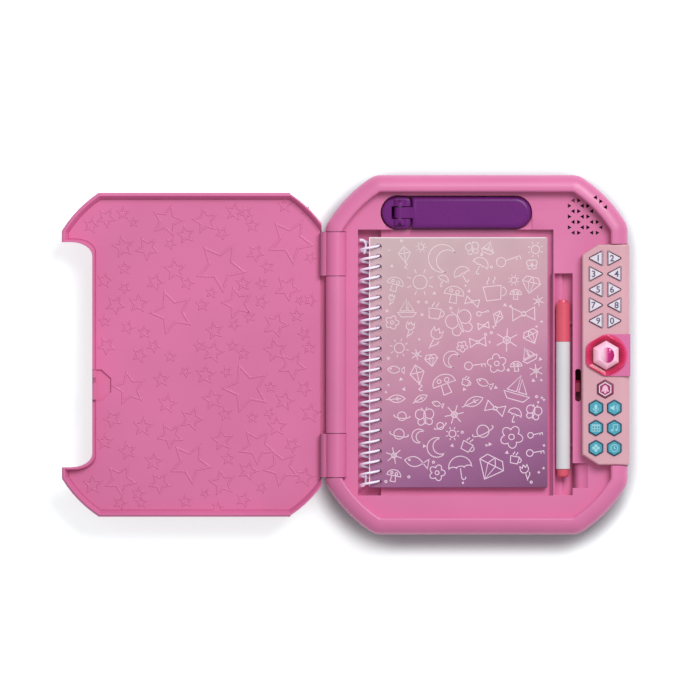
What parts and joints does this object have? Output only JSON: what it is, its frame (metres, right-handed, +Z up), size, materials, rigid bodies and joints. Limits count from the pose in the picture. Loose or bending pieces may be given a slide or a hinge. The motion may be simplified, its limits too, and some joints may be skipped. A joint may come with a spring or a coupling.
{
  "type": "electronic secret diary",
  "caption": "Lockable plastic diary case lying open, with a keypad panel, a folding lamp, a coil-bound notebook and a capped pen in a deep tray.",
  "frame": {"origin": "centre of the open diary's outline, on the plane of its feet", "axes": "+X from the lid to the keypad, +Y to the lamp end, +Z up"},
  "size_m": [0.3732, 0.236, 0.043],
  "materials": {
    "pink_shell": "satin moulded",
    "panel_pink": "satin moulded",
    "crimson": "gloss moulded",
    "gem": "clear faceted",
    "digit_lilac": "satin",
    "teal": "satin",
    "purple": "satin moulded",
    "lens": "frosted",
    "steel": "plated",
    "rubber_feet": "matt",
    "circuit_board": "solder mask",
    "black_plastic": "matt",
    "cable": "film",
    "guide": "satin",
    "cover_card": "printed card",
    "paper": "writing paper",
    "coil": "gloss",
    "pen_white": "gloss",
    "pen_coral": "gloss",
    "ink": "gloss"
  },
  "bodies": {
    "base": {"lower_case": "pink_shell", "upper_deck": "pink_shell", "rubber_feet": "rubber_feet", "case_screws": "steel", "battery_door": "pink_shell", "battery_door_screw": "steel", "batteries": "black_plastic", "battery_contacts": "steel", "main_board": "circuit_board", "circuit_chips": "black_plastic", "ribbon_cable": "cable", "keypad_board": "circuit_board", "key_mat": "rubber_feet", "keypad_panel": "panel_pink", "gem_bezel": "crimson", "gem_light": "lens", "speaker_frame": "black_plastic", "speaker_cone": "black_plastic", "speaker_retainer": "pink_shell", "hinge_pins": "steel", "latch_guide": "guide", "latch_solenoid": "steel", "lamp_turret": "purple", "lamp_turret_clip": "steel", "lamp_pin": "steel", "latch_spring": "steel"},
    "lid": {"lid_shell": "pink_shell", "lid_liner": "pink_shell", "lid_catch": "crimson"},
    "key_1": {"key_1": "digit_lilac"},
    "key_2": {"key_2": "digit_lilac"},
    "key_3": {"key_3": "digit_lilac"},
    "key_4": {"key_4": "digit_lilac"},
    "key_5": {"key_5": "digit_lilac"},
    "key_6": {"key_6": "digit_lilac"},
    "key_7": {"key_7": "digit_lilac"},
    "key_8": {"key_8": "digit_lilac"},
    "key_9": {"key_9": "digit_lilac"},
    "key_0": {"key_0": "digit_lilac"},
    "gem_button": {"gem_button": "gem"},
    "bell_key": {"bell_key": "crimson"},
    "talk_key": {"talk_key": "teal"},
    "sound_key": {"sound_key": "teal"},
    "calendar_key": {"calendar_key": "teal"},
    "music_key": {"music_key": "teal"},
    "game_key": {"game_key": "teal"},
    "clock_key": {"clock_key": "teal"},
    "lamp": {"lamp_arm": "purple", "lamp_arm_cover": "purple", "lamp_lens": "lens"},
    "latch": {"latch_slider": "crimson"},
    "notebook": {"notebook_pages": "paper", "notebook_back_cover": "cover_card"},
    "front_cover": {"notebook_front_cover": "cover_card"},
    "coil": {"spiral_coil": "coil"},
    "pen": {"pen_barrel": "pen_white", "pen_nib": "steel", "pen_refill": "ink", "pen_end_plug": "pen_coral"},
    "cap": {"pen_cap": "pen_coral"}
  },
  "joints": [
    {"name": "lid_hinge", "type": "hinge", "parent": "base", "child": "lid", "pos_m": [-0.00665, 0, 0.0293], "axis": [0, -1, 0], "range_deg": [-180, 0]},
    {"name": "lamp_lift", "type": "hinge", "parent": "base", "child": "lamp", "pos_m": [0.03535, 0.0933, 0.0254], "axis": [0, -1, 0], "range_deg": [0, 100]},
    {"name": "latch_slide", "type": "slide", "parent": "base", "child": "latch", "axis": [0, -1, 0], "range_m": [0, 0.0025], "stiffness_N_per_m": 250, "springref_m": -0.002, "deforming": ["latch_spring"]},
    {"name": "notebook_lift", "type": "slide", "parent": "base", "child": "notebook", "axis": [0, 0, 1], "range_m": [0, 0.05]},
    {"name": "notebook_cover", "type": "hinge", "parent": "notebook", "child": "front_cover", "pos_m": [0.01555, 0, 0.0238], "axis": [0, -1, 0], "range_deg": [0, 130]},
    {"name": "coil_turn", "type": "hinge", "parent": "notebook", "child": "coil", "pos_m": [0.01555, 0, 0.0238], "axis": [0, -1, 0], "range_deg": [0, 39]},
    {"name": "pen_lift", "type": "slide", "parent": "base", "child": "pen", "axis": [0, 0, 1], "range_m": [0, 0.05]},
    {"name": "pen_cap_pull", "type": "slide", "parent": "pen", "child": "cap", "axis": [0, 1, 0], "range_m": [0, 0.016]},
    {"name": "key_1_press", "type": "slide", "parent": "base", "child": "key_1", "axis": [0, 0, -1], "range_m": [0, 0.001], "stiffness_N_per_m": 250, "springref_m": -0.001},
    {"name": "key_2_press", "type": "slide", "parent": "base", "child": "key_2", "axis": [0, 0, -1], "range_m": [0, 0.001], "stiffness_N_per_m": 250, "springref_m": -0.001},
    {"name": "key_3_press", "type": "slide", "parent": "base", "child": "key_3", "axis": [0, 0, -1], "range_m": [0, 0.001], "stiffness_N_per_m": 250, "springref_m": -0.001},
    {"name": "key_4_press", "type": "slide", "parent": "base", "child": "key_4", "axis": [0, 0, -1], "range_m": [0, 0.001], "stiffness_N_per_m": 250, "springref_m": -0.001},
    {"name": "key_5_press", "type": "slide", "parent": "base", "child": "key_5", "axis": [0, 0, -1], "range_m": [0, 0.001], "stiffness_N_per_m": 250, "springref_m": -0.001},
    {"name": "key_6_press", "type": "slide", "parent": "base", "child": "key_6", "axis": [0, 0, -1], "range_m": [0, 0.001], "stiffness_N_per_m": 250, "springref_m": -0.001},
    {"name": "key_7_press", "type": "slide", "parent": "base", "child": "key_7", "axis": [0, 0, -1], "range_m": [0, 0.001], "stiffness_N_per_m": 250, "springref_m": -0.001},
    {"name": "key_8_press", "type": "slide", "parent": "base", "child": "key_8", "axis": [0, 0, -1], "range_m": [0, 0.001], "stiffness_N_per_m": 250, "springref_m": -0.001},
    {"name": "key_9_press", "type": "slide", "parent": "base", "child": "key_9", "axis": [0, 0, -1], "range_m": [0, 0.001], "stiffness_N_per_m": 250, "springref_m": -0.001},
    {"name": "key_0_press", "type": "slide", "parent": "base", "child": "key_0", "axis": [0, 0, -1], "range_m": [0, 0.001], "stiffness_N_per_m": 250, "springref_m": -0.001},
    {"name": "gem_button_press", "type": "slide", "parent": "base", "child": "gem_button", "axis": [0, 0, -1], "range_m": [0, 0.001], "stiffness_N_per_m": 400, "springref_m": -0.001},
    {"name": "bell_key_press", "type": "slide", "parent": "base", "child": "bell_key", "axis": [0, 0, -1], "range_m": [0, 0.001], "stiffness_N_per_m": 250, "springref_m": -0.001},
    {"name": "talk_key_press", "type": "slide", "parent": "base", "child": "talk_key", "axis": [0, 0, -1], "range_m": [0, 0.001], "stiffness_N_per_m": 250, "springref_m": -0.001},
    {"name": "sound_key_press", "type": "slide", "parent": "base", "child": "sound_key", "axis": [0, 0, -1], "range_m": [0, 0.001], "stiffness_N_per_m": 250, "springref_m": -0.001},
    {"name": "calendar_key_press", "type": "slide", "parent": "base", "child": "calendar_key", "axis": [0, 0, -1], "range_m": [0, 0.001], "stiffness_N_per_m": 250, "springref_m": -0.001},
    {"name": "music_key_press", "type": "slide", "parent": "base", "child": "music_key", "axis": [0, 0, -1], "range_m": [0, 0.001], "stiffness_N_per_m": 250, "springref_m": -0.001},
    {"name": "game_key_press", "type": "slide", "parent": "base", "child": "game_key", "axis": [0, 0, -1], "range_m": [0, 0.001], "stiffness_N_per_m": 250, "springref_m": -0.001},
    {"name": "clock_key_press", "type": "slide", "parent": "base", "child": "clock_key", "axis": [0, 0, -1], "range_m": [0, 0.001], "stiffness_N_per_m": 250, "springref_m": -0.001}
  ],
  "couplings": [
    {"joint": "coil_turn", "follows": "notebook_cover", "ratio": 0.3}
  ]
}
